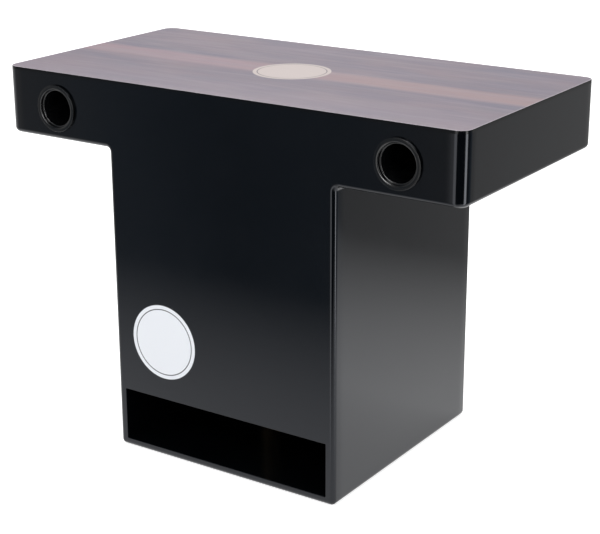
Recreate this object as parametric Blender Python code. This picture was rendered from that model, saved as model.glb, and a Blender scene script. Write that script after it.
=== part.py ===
# Slap-top box drum: a wide shallow sound box on a square pedestal, played on its top plate.
# Metres, +Z up. The origin is the centre of the pedestal's underside, the sound slot faces -Y
# and the player sits at +Y. "Left" and "right" are as seen from the front.
import math

import bmesh
import bpy
from mathutils import Vector

# Cabinet
CABINET_WIDTH = 0.500
CABINET_DEPTH = 0.252
CABINET_HEIGHT = 0.368
BOX_HEIGHT = 0.0655  # the top box, plate included
PEDESTAL_WIDTH = 0.252
PANEL_THICKNESS = 0.009
BASE_THICKNESS = 0.008
PLATE_THICKNESS = 0.003
WING_CORNER_RADIUS = 0.011
EDGE_ROUNDOVER = 0.0045
COVE_RADIUS = 0.004  # the hollow corner between a wing and the pedestal
REBATE_DEPTH = 0.003  # how far a side panel's top edge is let into the wing's floor
PLATE_EDGE_RADIUS = 0.0008
SLOT_HEIGHT = 0.053
FIT_GAP = 0.0003  # between pieces that touch

# Round ports
PORT_FROM_END = 0.062  # centre to the wing's end
PORT_ABOVE_FLOOR = 0.0032  # tube to the wing's floor
PORT_BORE_RADIUS = 0.0168
PORT_WALL = 0.0015
PORT_LIP_WIDTH = 0.0056
PORT_LIP_HEIGHT = 0.0027
PORT_TUBE_LENGTH = 0.045

# Glue strips
BATTEN_SIDE = 0.015
BATTEN_ABOVE_SLOT = 0.010
LEDGER_WIDTH = 0.012
LEDGER_HEIGHT = 0.008

# Rod and its bearings
ROD_RADIUS = 0.004
ROD_FROM_BACK = 0.043
ROD_ABOVE_FLOOR = 0.020
ROD_END_CHAMFER = 0.0006
BEARING_FROM_END = 0.045
BEARING_WIDTH = 0.014
BEARING_FOOT_LENGTH = 0.042
BEARING_FOOT_HEIGHT = 0.008
BEARING_HUB_RADIUS = 0.010
COLLAR_RADIUS = 0.0075
COLLAR_WIDTH = 0.007

# Snares
CARRIER_LENGTH = 0.100
CARRIER_HEIGHT = 0.018
CARRIER_FRONT = 0.018  # rod axis to the carrier's front face
CARRIER_BACK = 0.011
CARRIER_TO_BEARING = 0.004
STRIP_WIDTH = 0.012
STRIP_THICKNESS = 0.002
FREE_STRIP_WIDTH = 0.006
STRAND_COUNT = 12
STRAND_PITCH = 0.008
STRAND_RADIUS = 0.0008
STRAND_HELD = 0.0015  # how far a strand reaches into its clamped strip
SNARE_TO_PORT = 0.043  # free end of the wires to the end of the port tube
CLAMP_THICKNESS = 0.0015
CLAMP_SCREW_STRANDS = 8  # strands between a clamp's two screws

# Lever
THROW_ANGLE = math.radians(10)
LEVER_HUB_RADIUS = 0.009
LEVER_HUB_WIDTH = 0.014
LEVER_WIDTH = 0.010
LEVER_THICKNESS = 0.004
LEVER_STANDS_OUT = 0.020  # past the back panel
GRIP_LENGTH = 0.0175
GRIP_WIDTH = 0.018
GRIP_HEIGHT = 0.010
GRIP_OVER_TIP = 0.0025
GRIP_EDGE_RADIUS = 0.003
LEVER_PLAY = 0.002  # between the lever and its slot
SLOT_PLATE_WIDTH = 0.044
SLOT_PLATE_MARGIN = 0.0075
SLOT_PLATE_THICKNESS = 0.0015
SLOT_PLATE_CORNER = 0.004
SLOT_PLATE_SCREW_SPACING = 0.033

# Screws
SCREW_RADIUS = 0.00175
SCREW_HEAD_RADIUS = 0.0035
SCREW_HEAD_HEIGHT = 0.0022
SCREW_HEAD_RIM = 0.0009  # height of the head's straight side
SCREW_HEAD_FLAT = 0.0021  # radius of the head's flat top
SCREW_TIP_LENGTH = 0.002
RECESS_WIDTH = 0.001
RECESS_LENGTH = 0.0042
RECESS_DEPTH = 0.0011
SET_SCREW_RADIUS = 0.002
SET_SCREW_BELOW = 0.0005
BEARING_SCREW_GRIP = 0.0145
CLAMP_SCREW_GRIP = 0.0135
PLATE_SCREW_GRIP = 0.0085

# Places that follow from the sizes
HALF_WIDTH = CABINET_WIDTH / 2
HALF_DEPTH = CABINET_DEPTH / 2
HALF_PEDESTAL = PEDESTAL_WIDTH / 2
INNER_HALF_WIDTH = HALF_WIDTH - PANEL_THICKNESS
INNER_HALF_DEPTH = HALF_DEPTH - PANEL_THICKNESS
INNER_HALF_PEDESTAL = HALF_PEDESTAL - PANEL_THICKNESS
PLATE_UNDERSIDE = CABINET_HEIGHT - PLATE_THICKNESS
WALL_TOP = PLATE_UNDERSIDE - FIT_GAP
WING_UNDERSIDE = CABINET_HEIGHT - BOX_HEIGHT
WING_FLOOR_TOP = WING_UNDERSIDE + PANEL_THICKNESS
PORT_TUBE_RADIUS = PORT_BORE_RADIUS + PORT_WALL
PORT_X = HALF_WIDTH - PORT_FROM_END
PORT_Z = WING_FLOOR_TOP + PORT_ABOVE_FLOOR + PORT_TUBE_RADIUS
SLOT_TOP = BASE_THICKNESS + SLOT_HEIGHT
ROD_Y = HALF_DEPTH - ROD_FROM_BACK
ROD_Z = WING_FLOOR_TOP + ROD_ABOVE_FLOOR
ROD_BORE_RADIUS = ROD_RADIUS + FIT_GAP
BEARING_X = HALF_WIDTH - BEARING_FROM_END
COLLAR_X = BEARING_X + BEARING_WIDTH / 2 + FIT_GAP + COLLAR_WIDTH / 2
ROD_HALF_LENGTH = COLLAR_X + COLLAR_WIDTH / 2 + ROD_END_CHAMFER
CARRIER_X = BEARING_X - BEARING_WIDTH / 2 - CARRIER_TO_BEARING - CARRIER_LENGTH / 2
CARRIER_TOP = ROD_Z + CARRIER_HEIGHT / 2
STRIP_Y = ROD_Y - CARRIER_FRONT + STRIP_WIDTH / 2
STRIP_Z = CARRIER_TOP + FIT_GAP + STRIP_THICKNESS / 2
FREE_END_Y = -HALF_DEPTH + PORT_TUBE_LENGTH + SNARE_TO_PORT
FREE_END_Z = PLATE_UNDERSIDE - FIT_GAP - STRIP_THICKNESS / 2
CLAMP_Z = STRIP_Z + STRIP_THICKNESS / 2 + FIT_GAP + CLAMP_THICKNESS / 2
LEVER_REACH = ROD_FROM_BACK + LEVER_STANDS_OUT
LEVER_SLOT_LOW = ROD_Z - LEVER_THICKNESS / 2 - LEVER_PLAY
LEVER_SLOT_RISE = (ROD_FROM_BACK + SLOT_PLATE_THICKNESS) * math.tan(THROW_ANGLE)
LEVER_SLOT_HIGH = ROD_Z + LEVER_THICKNESS / 2 / math.cos(THROW_ANGLE) + LEVER_SLOT_RISE + LEVER_PLAY
LEVER_SLOT_WIDTH = LEVER_WIDTH + 2 * LEVER_PLAY
BEYOND = 0.005  # how far a cutter runs past what it cuts
TINY = 1e-6
ROUND = 40  # sides of the larger round pieces
ROD_ROUND = 24
SMALL_ROUND = 16
EDGE_STEPS = 4  # flats across a rounded edge
CORNER_STEPS = 7

SIDES = {"left": -1, "right": 1}
ALONG_X = (0, math.pi / 2, 0)
ALONG_MINUS_Y = (math.pi / 2, 0, 0)
ALONG_Y = (-math.pi / 2, 0, 0)
UPRIGHT = (0, 0, 0)


def clear_scene():
    for obj in list(bpy.data.objects):
        bpy.data.objects.remove(obj, do_unlink=True)


def finish(name, colour, roughness, metallic=0.0):
    material = bpy.data.materials.new(name)
    material.use_nodes = True
    material.diffuse_color = (*colour, 1.0)
    shader = material.node_tree.nodes["Principled BSDF"]
    shader.inputs["Base Color"].default_value = (*colour, 1.0)
    shader.inputs["Roughness"].default_value = roughness
    shader.inputs["Metallic"].default_value = metallic
    return material


def mesh_of(bm, name):
    bmesh.ops.recalc_face_normals(bm, faces=bm.faces)
    mesh = bpy.data.meshes.new(name)
    bm.to_mesh(mesh)
    bm.free()
    mesh.shade_smooth()
    mesh.set_sharp_from_angle(angle=math.radians(35))
    return mesh


def add(name, mesh, place, material=None, turn=UPRIGHT, parent=None):
    # place is a point of the whole object, also for a piece that hangs on a parent
    obj = bpy.data.objects.new(name, mesh)
    bpy.context.scene.collection.objects.link(obj)
    if material and not mesh.materials:
        mesh.materials.append(material)
    obj.parent = parent
    obj.location = Vector(place) - (parent.location if parent else Vector())
    obj.rotation_euler = turn
    return obj


def as_cutter(obj):
    obj.hide_render = True
    obj.display_type = "WIRE"
    return obj


def combine(obj, operation, *others):
    for other in others:
        modifier = obj.modifiers.new(other.name, "BOOLEAN")
        modifier.operation = operation
        modifier.object = other
    return obj


def flat_shaded(obj):
    # keeps a board's broad faces flat in shading beside its rounded edges
    modifier = obj.modifiers.new("flat_faces", "WEIGHTED_NORMAL")
    modifier.keep_sharp = True
    return obj


def edges_along(bm, axis, test):
    # the edges parallel to one axis whose ends both pass the test
    found = []
    for edge in bm.edges:
        run = edge.verts[1].co - edge.verts[0].co
        if abs(abs(run[axis]) - run.length) < TINY and all(test(vert.co) for vert in edge.verts):
            found.append(edge)
    return found


def round_edges(bm, edges, radius, segments):
    bmesh.ops.bevel(
        bm, geom=edges, offset=radius, offset_type="OFFSET", segments=segments,
        profile=0.5, affect="EDGES", clamp_overlap=False,
    )


def block_mesh(name, size, radius=0.0):
    # a box centred on its own origin, with all its edges rounded where a radius is given
    bm = bmesh.new()
    bmesh.ops.create_cube(bm, size=1.0)
    bmesh.ops.scale(bm, vec=size, verts=bm.verts)
    if radius:
        round_edges(bm, list(bm.edges), radius, EDGE_STEPS)
    return mesh_of(bm, name)


def block_between(name, low, high, material=None, parent=None):
    low, high = Vector(low), Vector(high)
    return add(name, block_mesh(name, high - low), (low + high) / 2, material, parent=parent)


def turned_mesh(name, profile, sides, ring=False):
    # profile is (radius, height) pairs turned about Z; a ring's last pair joins its first
    bm = bmesh.new()
    verts = [bm.verts.new((radius, 0, height)) for radius, height in profile]
    ends = zip(verts, verts[1:] + verts[:1]) if ring else zip(verts, verts[1:])
    edges = [bm.edges.new(pair) for pair in ends]
    bmesh.ops.spin(
        bm, geom=verts + edges, cent=(0, 0, 0), axis=(0, 0, 1), angle=2 * math.pi,
        steps=sides, use_merge=True,
    )
    bmesh.ops.remove_doubles(bm, verts=bm.verts, dist=TINY)
    return mesh_of(bm, name)


def cylinder_mesh(name, radius, length, sides, chamfer=0.0):
    # a cylinder along Z centred on its own origin
    half = length / 2
    profile = [(0, -half), (radius - chamfer, -half), (radius, chamfer - half)]
    profile += [(radius, half - chamfer), (radius - chamfer, half), (0, half)]
    return turned_mesh(name, profile, sides)


def extruded_mesh(name, outline, length, axis):
    # a closed outline in the plane across the axis, extruded by length and centred along it
    def point(first, second, along):
        rest = [first, second]
        rest.insert(axis, along)
        return rest

    bm = bmesh.new()
    verts = [bm.verts.new(point(first, second, -length / 2)) for first, second in outline]
    face = bm.faces.new(verts)
    grown = bmesh.ops.extrude_face_region(bm, geom=[face])["geom"]
    moved = [item for item in grown if isinstance(item, bmesh.types.BMVert)]
    bmesh.ops.translate(bm, verts=moved, vec=point(0, 0, length))
    return mesh_of(bm, name)


def arc(centre, radius, start, end, steps):
    angles = [start + (end - start) * step / steps for step in range(steps + 1)]
    return [(centre[0] + radius * math.cos(a), centre[1] + radius * math.sin(a)) for a in angles]


def rounded_rectangle(width, height, radius, steps=EDGE_STEPS):
    quarter = math.pi / 2
    corners = ((1, 1), (-1, 1), (-1, -1), (1, -1))
    points = []
    for turn, (x, y) in enumerate(corners):
        centre = (x * (width / 2 - radius), y * (height / 2 - radius))
        points += arc(centre, radius, turn * quarter, (turn + 1) * quarter, steps)
    return points


def cabinet_envelope():
    # the outside of the closed cabinet as one solid, which gives every panel its rounded edges
    above = CABINET_HEIGHT + BEYOND
    right = [(HALF_PEDESTAL, 0), (HALF_PEDESTAL, WING_UNDERSIDE)]
    right += [(HALF_WIDTH, WING_UNDERSIDE), (HALF_WIDTH, above)]
    outline = right + [(-x, z) for x, z in reversed(right)]
    mesh = extruded_mesh("cabinet_envelope", outline, CABINET_DEPTH, axis=1)
    bm = bmesh.new()
    bm.from_mesh(mesh)

    def near(value, target):
        return abs(abs(value) - target) < TINY

    hollow = edges_along(
        bm, 1, lambda co: near(co.x, HALF_PEDESTAL) and near(co.z, WING_UNDERSIDE)
    )
    round_edges(bm, hollow, COVE_RADIUS, EDGE_STEPS)
    upright = edges_along(bm, 2, lambda co: near(co.x, HALF_WIDTH) and near(co.y, HALF_DEPTH))
    round_edges(bm, upright, WING_CORNER_RADIUS, CORNER_STEPS)
    round_edges(bm, outer_edges(bm), EDGE_ROUNDOVER, EDGE_STEPS)
    bpy.data.meshes.remove(mesh)
    return as_cutter(add("cabinet_envelope", mesh_of(bm, "cabinet_envelope"), (0, 0, 0)))


def outer_edges(bm):
    # the outline of the front and back below the top box's ends, and every edge round an underside
    found = []
    for edge in bm.edges:
        first, second = (vert.co for vert in edge.verts)
        middle = (first + second) / 2
        if middle.z > WING_UNDERSIDE + TINY:
            continue
        on_face = all(abs(abs(co.y) - HALF_DEPTH) < TINY for co in (first, second))
        on_outline = on_face and abs(first.y - second.y) < TINY
        level = abs(first.z - second.z) < TINY
        on_wing_end = abs(middle.x) > HALF_WIDTH - WING_CORNER_RADIUS
        if on_outline or level and (middle.z < TINY or on_wing_end):
            found.append(edge)
    return found


def front_and_back(envelope, lacquer, port_cutters, lever_cutter, screw_cutters):
    reach = HALF_WIDTH + BEYOND
    for name, side in (("front_panel", -1), ("back_panel", 1)):
        inner, outer = side * INNER_HALF_DEPTH, side * (HALF_DEPTH + BEYOND)
        low = (-reach, min(inner, outer), -BEYOND)
        high = (reach, max(inner, outer), WALL_TOP)
        panel = combine(block_between(name, low, high, lacquer), "INTERSECT", envelope)
        if side < 0:
            sound_slot = block_between(
                "sound_slot_cutter",
                (-INNER_HALF_PEDESTAL, -HALF_DEPTH - BEYOND, BASE_THICKNESS),
                (INNER_HALF_PEDESTAL, -INNER_HALF_DEPTH + BEYOND, SLOT_TOP),
            )
            combine(panel, "DIFFERENCE", as_cutter(sound_slot), *port_cutters)
        else:
            combine(panel, "DIFFERENCE", lever_cutter, *screw_cutters)
        flat_shaded(panel)


def sides_and_floors(envelope, lacquer, floor_screw_cutters):
    depth = INNER_HALF_DEPTH - FIT_GAP
    for side_name, side in SIDES.items():
        def panel(name, inner_x, outer_x, low_z, high_z, side=side):
            xs = sorted((side * inner_x, side * outer_x))
            low, high = (xs[0], -depth, low_z), (xs[1], depth, high_z)
            flat_shaded(combine(block_between(name, low, high, lacquer), "INTERSECT", envelope))

        panel(
            f"{side_name}_side_panel", INNER_HALF_PEDESTAL, HALF_PEDESTAL + COVE_RADIUS,
            -BEYOND, WING_UNDERSIDE + REBATE_DEPTH - FIT_GAP,
        )
        panel(
            f"{side_name}_wing_end", INNER_HALF_WIDTH, HALF_WIDTH + BEYOND,
            WING_UNDERSIDE - BEYOND, WALL_TOP,
        )
        xs = sorted((side * INNER_HALF_PEDESTAL, side * (INNER_HALF_WIDTH - FIT_GAP)))
        floor = block_between(
            f"{side_name}_wing_floor", (xs[0], -depth, WING_UNDERSIDE), (xs[1], depth, WING_FLOOR_TOP),
            lacquer,
        )
        rebate_xs = sorted((side * (INNER_HALF_PEDESTAL - BEYOND), side * (HALF_PEDESTAL + COVE_RADIUS + FIT_GAP)))
        rebate = block_between(
            f"{side_name}_rebate_cutter",
            (rebate_xs[0], -HALF_DEPTH, WING_UNDERSIDE - BEYOND),
            (rebate_xs[1], HALF_DEPTH, WING_UNDERSIDE + REBATE_DEPTH),
        )
        combine(floor, "DIFFERENCE", as_cutter(rebate), *floor_screw_cutters[side_name])
    width = INNER_HALF_PEDESTAL - FIT_GAP
    block_between("base_panel", (-width, -depth, 0), (width, depth, BASE_THICKNESS), lacquer)


def playing_surface(veneer):
    outline = rounded_rectangle(CABINET_WIDTH, CABINET_DEPTH, WING_CORNER_RADIUS, CORNER_STEPS)
    mesh = extruded_mesh("playing_surface", outline, PLATE_THICKNESS, axis=2)
    bm = bmesh.new()
    bm.from_mesh(mesh)
    top = PLATE_THICKNESS / 2
    rim = [edge for edge in bm.edges if all(abs(vert.co.z - top) < TINY for vert in edge.verts)]
    round_edges(bm, rim, PLATE_EDGE_RADIUS, 2)
    bpy.data.meshes.remove(mesh)
    place = (0, 0, PLATE_UNDERSIDE + PLATE_THICKNESS / 2)
    add("playing_surface", mesh_of(bm, "playing_surface"), place, veneer)


def glue_strips(pine, port_cutters):
    inner = INNER_HALF_PEDESTAL - FIT_GAP
    depth = INNER_HALF_DEPTH - FIT_GAP
    foot = {"front": SLOT_TOP + BATTEN_ABOVE_SLOT, "back": BASE_THICKNESS + FIT_GAP}
    for row, y in (("front", -1), ("back", 1)):
        for column, x in SIDES.items():
            xs = sorted((x * inner, x * (inner - BATTEN_SIDE)))
            ys = sorted((y * depth, y * (depth - BATTEN_SIDE)))
            low, high = (xs[0], ys[0], foot[row]), (xs[1], ys[1], WING_FLOOR_TOP)
            block_between(f"{row}_{column}_batten", low, high, pine)
    width = INNER_HALF_WIDTH - FIT_GAP
    bottom = WALL_TOP - LEDGER_HEIGHT
    for row, y in (("front", -1), ("back", 1)):
        ys = sorted((y * depth, y * (depth - LEDGER_WIDTH)))
        ledger = block_between(f"{row}_ledger", (-width, ys[0], bottom), (width, ys[1], WALL_TOP), pine)
        if y < 0:
            combine(ledger, "DIFFERENCE", *port_cutters)
    short = depth - LEDGER_WIDTH - FIT_GAP
    for column, x in SIDES.items():
        xs = sorted((x * width, x * (width - LEDGER_WIDTH)))
        block_between(f"{column}_ledger", (xs[0], -short, bottom), (xs[1], short, WALL_TOP), pine)


def port_tubes(plastic):
    # the lip is half an ellipse across the ring, and runs smoothly into the bore
    middle = PORT_BORE_RADIUS + PORT_LIP_WIDTH / 2
    lip = [
        (middle + PORT_LIP_WIDTH / 2 * math.cos(angle), PORT_LIP_HEIGHT * math.sin(angle))
        for angle in (math.pi * step / 9 for step in range(10))
    ]
    profile = lip + [(PORT_BORE_RADIUS, -PORT_TUBE_LENGTH), (PORT_TUBE_RADIUS, -PORT_TUBE_LENGTH)]
    profile += [(PORT_TUBE_RADIUS, 0)]
    mesh = turned_mesh("port_tube", profile, ROUND, ring=True)
    for name, side in SIDES.items():
        place = (side * PORT_X, -HALF_DEPTH - FIT_GAP, PORT_Z)
        add(f"{name}_port_tube", mesh, place, plastic, turn=ALONG_MINUS_Y)


def port_hole_cutters():
    mesh = cylinder_mesh("port_hole", PORT_TUBE_RADIUS + FIT_GAP, 2 * PORT_TUBE_LENGTH, ROUND)
    return [
        as_cutter(add(f"{name}_port_cutter", mesh, (side * PORT_X, -HALF_DEPTH, PORT_Z), turn=ALONG_Y))
        for name, side in SIDES.items()
    ]


def screw_mesh(name, grip):
    # head on top of the origin and shank below it, down to a short point at -grip
    profile = [(0, -grip), (SCREW_RADIUS, SCREW_TIP_LENGTH - grip), (SCREW_RADIUS, 0)]
    profile += [(SCREW_HEAD_RADIUS, 0), (SCREW_HEAD_RADIUS, SCREW_HEAD_RIM)]
    profile += [(SCREW_HEAD_FLAT, SCREW_HEAD_HEIGHT), (0, SCREW_HEAD_HEIGHT)]
    blank = add("screw_blank", turned_mesh(name, profile, SMALL_ROUND), (0, 0, 0))
    arms = []
    for size in ((RECESS_LENGTH, RECESS_WIDTH), (RECESS_WIDTH, RECESS_LENGTH)):
        arm = add("recess", block_mesh("recess", (*size, 2 * RECESS_DEPTH)), (0, 0, SCREW_HEAD_HEIGHT))
        arms.append(arm)
    combine(blank, "DIFFERENCE", *arms)
    graph = bpy.context.evaluated_depsgraph_get()
    mesh = bpy.data.meshes.new_from_object(blank.evaluated_get(graph))
    mesh.name = name
    for obj in (blank, *arms):
        bpy.data.objects.remove(obj, do_unlink=True)
    return mesh


def screw_hole_mesh(name, grip):
    # a drilled hole centred on the screw's seat, a little deeper than the screw's point
    return cylinder_mesh(name, SCREW_RADIUS + FIT_GAP, 2 * (grip + FIT_GAP), SMALL_ROUND)


def set_screw(name, depth_from_rod, steel, turn, parent, x):
    # a headless screw whose point meets the rod; depth_from_rod is where its outer end lies
    inner, outer = ROD_RADIUS + FIT_GAP, depth_from_rod - SET_SCREW_BELOW
    mesh = cylinder_mesh(name, SET_SCREW_RADIUS, outer - inner, SMALL_ROUND, ROD_END_CHAMFER)
    direction = 1 if turn == ALONG_Y else -1
    place = (x, ROD_Y + direction * (inner + outer) / 2, ROD_Z)
    add(name, mesh, place, steel, turn, parent)
    hole = cylinder_mesh(f"{name}_hole", SET_SCREW_RADIUS + FIT_GAP, depth_from_rod + BEYOND, SMALL_ROUND)
    centre = (x, ROD_Y + direction * (depth_from_rod + BEYOND) / 2, ROD_Z)
    return as_cutter(add(f"{name}_hole", hole, centre, turn=turn, parent=parent))


def bearings(nylon, steel, rod_cutter):
    # a pillow block on each wing's floor, with a round hub over a foot that two screws hold
    foot_top = WING_FLOOR_TOP + FIT_GAP + BEARING_FOOT_HEIGHT
    hub_centre = (0, ROD_Z - WING_FLOOR_TOP)
    low, half_foot = FIT_GAP, BEARING_FOOT_LENGTH / 2
    shoulder = FIT_GAP + BEARING_FOOT_HEIGHT
    outline = [(half_foot, low), (half_foot, shoulder), (BEARING_HUB_RADIUS, shoulder)]
    outline += arc(hub_centre, BEARING_HUB_RADIUS, 0, math.pi, 12)
    outline += [(-BEARING_HUB_RADIUS, shoulder), (-half_foot, shoulder), (-half_foot, low)]
    mesh = extruded_mesh("rod_bearing", outline, BEARING_WIDTH, axis=0)
    screw = screw_mesh("bearing_screw", BEARING_SCREW_GRIP)
    hole = screw_hole_mesh("bearing_screw_hole", BEARING_SCREW_GRIP)
    screw_offset = (half_foot + BEARING_HUB_RADIUS) / 2
    cutters = {}
    for name, side in SIDES.items():
        place = (side * BEARING_X, ROD_Y, WING_FLOOR_TOP)
        bearing = combine(add(f"{name}_rod_bearing", mesh.copy(), place, nylon), "DIFFERENCE", rod_cutter)
        cutters[name] = []
        for row, y in (("front", -1), ("back", 1)):
            seat = Vector((side * BEARING_X, ROD_Y + y * screw_offset, foot_top + FIT_GAP))
            add(f"{name}_bearing_screw_{row}", screw, seat, steel)
            drill = as_cutter(add(f"{name}_bearing_{row}_hole", hole, seat))
            cutters[name].append(drill)
        combine(bearing, "DIFFERENCE", *cutters[name])
    return cutters


def rod_and_collars(steel, axis, rod_cutter):
    place = (0, ROD_Y, ROD_Z)
    rod = cylinder_mesh("throw_off_rod", ROD_RADIUS, 2 * ROD_HALF_LENGTH, ROD_ROUND, ROD_END_CHAMFER)
    add("throw_off_rod", rod, place, steel, ALONG_X, axis)
    for name, side in SIDES.items():
        ring = cylinder_mesh("rod_collar", COLLAR_RADIUS, COLLAR_WIDTH, ROD_ROUND, ROD_END_CHAMFER)
        place = (side * COLLAR_X, ROD_Y, ROD_Z)
        combine(add(f"{name}_rod_collar", ring, place, steel, ALONG_X, axis), "DIFFERENCE", rod_cutter)


def snare_wires(name, x, steel, axis, drills):
    # straight strands between a clamped strip and a free strip, rising to the plate
    held_y = STRIP_Y - STRIP_WIDTH / 2 + STRAND_HELD
    start = Vector((0, held_y - ROD_Y, STRIP_Z - ROD_Z))
    end = Vector((0, FREE_END_Y + FREE_STRIP_WIDTH / 2 - ROD_Y, FREE_END_Z - ROD_Z))
    run = end - start
    tilt = run.to_track_quat("Z", "Y").to_matrix()
    bm = bmesh.new()
    for strand in range(STRAND_COUNT):
        offset = Vector(((strand - (STRAND_COUNT - 1) / 2) * STRAND_PITCH, 0, 0))
        made = bmesh.ops.create_cone(
            bm, cap_ends=True, segments=6, radius1=STRAND_RADIUS, radius2=STRAND_RADIUS, depth=run.length,
        )
        bmesh.ops.rotate(bm, verts=made["verts"], cent=(0, 0, 0), matrix=tilt)
        bmesh.ops.translate(bm, verts=made["verts"], vec=(start + end) / 2 + offset)
    fan = add(name, mesh_of(bm, name), (x, ROD_Y, ROD_Z), steel, parent=axis)
    strips = (
        ("clamped", STRIP_WIDTH, STRIP_Y, STRIP_Z),
        ("free", FREE_STRIP_WIDTH, FREE_END_Y + FREE_STRIP_WIDTH / 2, FREE_END_Z),
    )
    for end_name, width, y, z in strips:
        mesh = block_mesh("strip", (STRAND_COUNT * STRAND_PITCH, width, STRIP_THICKNESS))
        strip = as_cutter(add(f"{name}_{end_name}_strip", mesh, (x, y, z), steel, parent=axis))
        combine(fan, "UNION", strip)
    combine(fan, "DIFFERENCE", *drills)


def snares(beech, steel, axis, rod_cutter):
    screw = screw_mesh("clamp_screw", CLAMP_SCREW_GRIP)
    hole = screw_hole_mesh("clamp_screw_hole", CLAMP_SCREW_GRIP)
    clamp_top = CLAMP_Z + CLAMP_THICKNESS / 2
    clamp_length = STRAND_COUNT * STRAND_PITCH
    for name, side in SIDES.items():
        x = side * CARRIER_X
        low = (x - CARRIER_LENGTH / 2, ROD_Y - CARRIER_FRONT, ROD_Z - CARRIER_HEIGHT / 2)
        high = (x + CARRIER_LENGTH / 2, ROD_Y + CARRIER_BACK, CARRIER_TOP)
        carrier = block_between(f"{name}_snare_carrier", low, high, beech, axis)
        set_hole = set_screw(f"{name}_carrier_set_screw", CARRIER_BACK, steel, ALONG_Y, axis, x)
        clamp_mesh = block_mesh(f"{name}_snare_clamp", (clamp_length, STRIP_WIDTH, CLAMP_THICKNESS))
        clamp = add(f"{name}_snare_clamp", clamp_mesh, (x, STRIP_Y, CLAMP_Z), steel, parent=axis)
        drills = []
        for end_name, end in (("inner", -side), ("outer", side)):
            seat = (x + end * CLAMP_SCREW_STRANDS / 2 * STRAND_PITCH, STRIP_Y, clamp_top + FIT_GAP)
            add(f"{name}_clamp_screw_{end_name}", screw, seat, steel, parent=axis)
            drills.append(as_cutter(add(f"{name}_clamp_{end_name}_hole", hole, seat, parent=axis)))
        combine(carrier, "DIFFERENCE", rod_cutter, set_hole, *drills)
        combine(clamp, "DIFFERENCE", *drills)
        snare_wires(f"{name}_snare_wires", x, steel, axis, drills)


def lever(steel, plastic, axis, rod_cutter):
    hub_mesh = cylinder_mesh("throw_off_lever", LEVER_HUB_RADIUS, LEVER_HUB_WIDTH, ROUND, ROD_END_CHAMFER)
    hub = add("throw_off_lever", hub_mesh, (0, ROD_Y, ROD_Z), steel, ALONG_X, axis)
    arm_start = ROD_Y + (ROD_RADIUS + LEVER_HUB_RADIUS) / 2
    arm_end = ROD_Y + LEVER_REACH
    half_width, half_height = LEVER_WIDTH / 2, LEVER_THICKNESS / 2
    arm = block_between(
        "lever_arm",
        (-half_width, arm_start, ROD_Z - half_height),
        (half_width, arm_end, ROD_Z + half_height),
        parent=axis,
    )
    set_hole = set_screw("lever_set_screw", LEVER_HUB_RADIUS, steel, ALONG_MINUS_Y, axis, 0)
    combine(hub, "UNION", as_cutter(arm))
    combine(hub, "DIFFERENCE", rod_cutter, set_hole)
    grip_end = arm_end + GRIP_OVER_TIP
    grip_mesh = block_mesh("lever_grip", (GRIP_WIDTH, GRIP_LENGTH, GRIP_HEIGHT), GRIP_EDGE_RADIUS)
    grip = add("lever_grip", grip_mesh, (0, grip_end - GRIP_LENGTH / 2, ROD_Z), plastic, parent=axis)
    socket = block_between(
        "grip_socket",
        (-half_width - FIT_GAP, arm_start, ROD_Z - half_height - FIT_GAP),
        (half_width + FIT_GAP, arm_end + FIT_GAP, ROD_Z + half_height + FIT_GAP),
        parent=axis,
    )
    combine(grip, "DIFFERENCE", as_cutter(socket))


def slot_plate(plastic, steel):
    height = LEVER_SLOT_HIGH - LEVER_SLOT_LOW
    centre_z = (LEVER_SLOT_HIGH + LEVER_SLOT_LOW) / 2
    opening = rounded_rectangle(LEVER_SLOT_WIDTH, height, LEVER_PLAY)
    cutter_mesh = extruded_mesh("lever_slot_cutter", opening, 4 * PANEL_THICKNESS, axis=1)
    cutter = as_cutter(add("lever_slot_cutter", cutter_mesh, (0, HALF_DEPTH, centre_z)))
    plate_height = height + 2 * SLOT_PLATE_MARGIN
    outline = rounded_rectangle(SLOT_PLATE_WIDTH, plate_height, SLOT_PLATE_CORNER)
    mesh = extruded_mesh("lever_slot_plate", outline, SLOT_PLATE_THICKNESS, axis=1)
    plate_y = HALF_DEPTH + FIT_GAP + SLOT_PLATE_THICKNESS / 2
    plate = add("lever_slot_plate", mesh, (0, plate_y, centre_z), plastic)
    screw = screw_mesh("slot_plate_screw", PLATE_SCREW_GRIP)
    hole = screw_hole_mesh("slot_plate_screw_hole", PLATE_SCREW_GRIP)
    seat_y = plate_y + SLOT_PLATE_THICKNESS / 2 + FIT_GAP
    drills = []
    for name, side in SIDES.items():
        seat = (side * SLOT_PLATE_SCREW_SPACING / 2, seat_y, centre_z)
        add(f"slot_plate_screw_{name}", screw, seat, steel, ALONG_Y)
        drills.append(as_cutter(add(f"slot_plate_{name}_hole", hole, seat, turn=ALONG_Y)))
    combine(plate, "DIFFERENCE", cutter, *drills)
    return cutter, drills


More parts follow.
